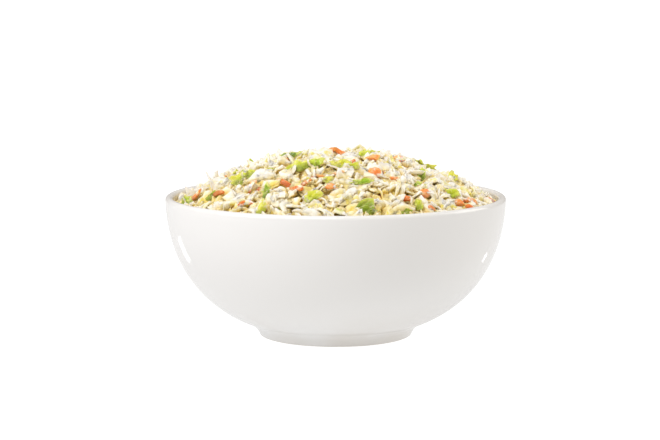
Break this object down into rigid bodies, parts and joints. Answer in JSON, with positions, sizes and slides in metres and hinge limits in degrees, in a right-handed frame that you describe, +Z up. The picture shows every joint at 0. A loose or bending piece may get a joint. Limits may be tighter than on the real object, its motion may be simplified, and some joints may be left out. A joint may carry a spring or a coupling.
{
  "type": "coleslaw in a bowl",
  "caption": "Finely chopped coleslaw with carrot and green leaf bits, heaped in a round white porcelain bowl that stands on a foot ring.",
  "frame": {"origin": "centre of the foot ring, on the surface the bowl stands on", "axes": "+Z up along the bowl's turning axis; the bowl is round, and +Y runs away from the side the heap is shown from"},
  "size_m": [0.1556, 0.1556, 0.085],
  "materials": {
    "porcelain": "glossy white glaze",
    "coleslaw": "moist cream-coloured chopped vegetables in dressing"
  },
  "bodies": {
    "root": {"bowl": "porcelain", "coleslaw": "coleslaw"}
  },
  "joints": []
}
